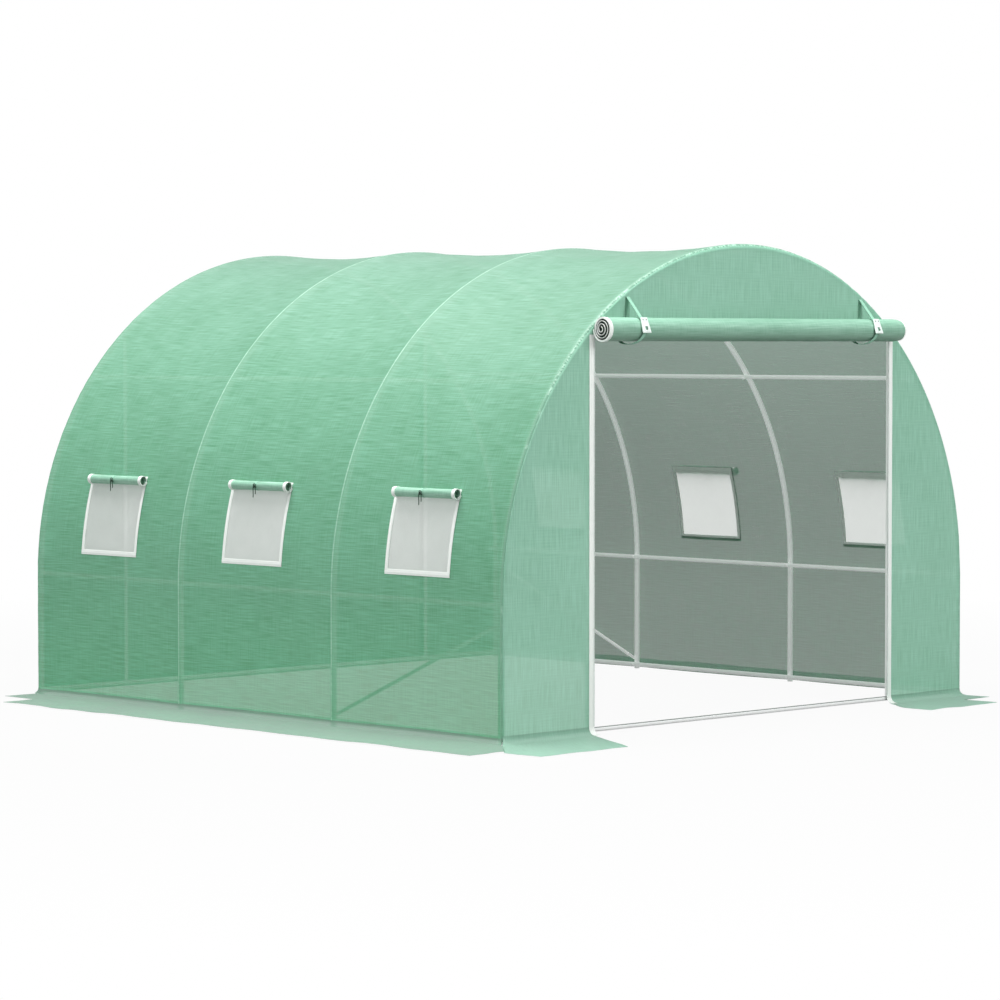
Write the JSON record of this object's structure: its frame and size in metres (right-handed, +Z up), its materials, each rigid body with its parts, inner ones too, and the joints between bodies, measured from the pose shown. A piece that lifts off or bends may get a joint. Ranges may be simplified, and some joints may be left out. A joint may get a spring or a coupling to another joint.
{
  "type": "polytunnel greenhouse",
  "caption": "Walk-in polytunnel greenhouse: steel hoop frame under a woven green cover, with a rolled-up door, mesh windows with rolled flaps and a ground skirt.",
  "frame": {"origin": "on the ground, at the middle of the footprint with the skirt spread", "axes": "+X across the tunnel, +Y along it from the front door to the rear, +Z up"},
  "size_m": [3.6556, 3.7, 2.0147],
  "materials": {
    "galvanised_tube": "satin",
    "woven_cover": "semi-gloss woven film",
    "mesh_screen": "fine mesh",
    "white_binding": "matte",
    "tie_cord": "matte",
    "strap_webbing": "matte",
    "buckle_plastic": "satin"
  },
  "bodies": {
    "root": {"front_hoop": "galvanised_tube", "front_middle_hoop": "galvanised_tube", "rear_middle_hoop": "galvanised_tube", "rear_hoop": "galvanised_tube", "left_base_rail": "galvanised_tube", "right_base_rail": "galvanised_tube", "front_base_rail": "galvanised_tube", "rear_base_rail": "galvanised_tube", "left_side_rail": "galvanised_tube", "right_side_rail": "galvanised_tube", "left_purlin": "galvanised_tube", "right_purlin": "galvanised_tube", "ridge_purlin": "galvanised_tube", "front_left_door_post": "galvanised_tube", "front_right_door_post": "galvanised_tube", "rear_left_door_post": "galvanised_tube", "rear_right_door_post": "galvanised_tube", "front_left_brace": "galvanised_tube", "rear_right_brace": "galvanised_tube", "left_wall_cover": "woven_cover", "right_wall_cover": "woven_cover", "roof_cover": "woven_cover", "front_left_panel": "woven_cover", "front_right_panel": "woven_cover", "front_head_panel": "woven_cover", "rear_left_panel": "woven_cover", "rear_right_panel": "woven_cover", "rear_head_panel": "woven_cover", "rear_door": "woven_cover", "left_skirt": "woven_cover", "right_skirt": "woven_cover", "front_left_skirt": "woven_cover", "front_right_skirt": "woven_cover", "rear_skirt": "woven_cover", "left_window_screens": "mesh_screen", "right_window_screens": "mesh_screen", "window_bindings": "white_binding", "left_window_rolls": "woven_cover", "right_window_rolls": "woven_cover", "window_ties": "tie_cord", "tie_tails": "tie_cord", "front_door_roll": "woven_cover", "front_door_straps": "strap_webbing", "strap_buckles": "buckle_plastic", "door_zips": "white_binding"}
  },
  "joints": []
}
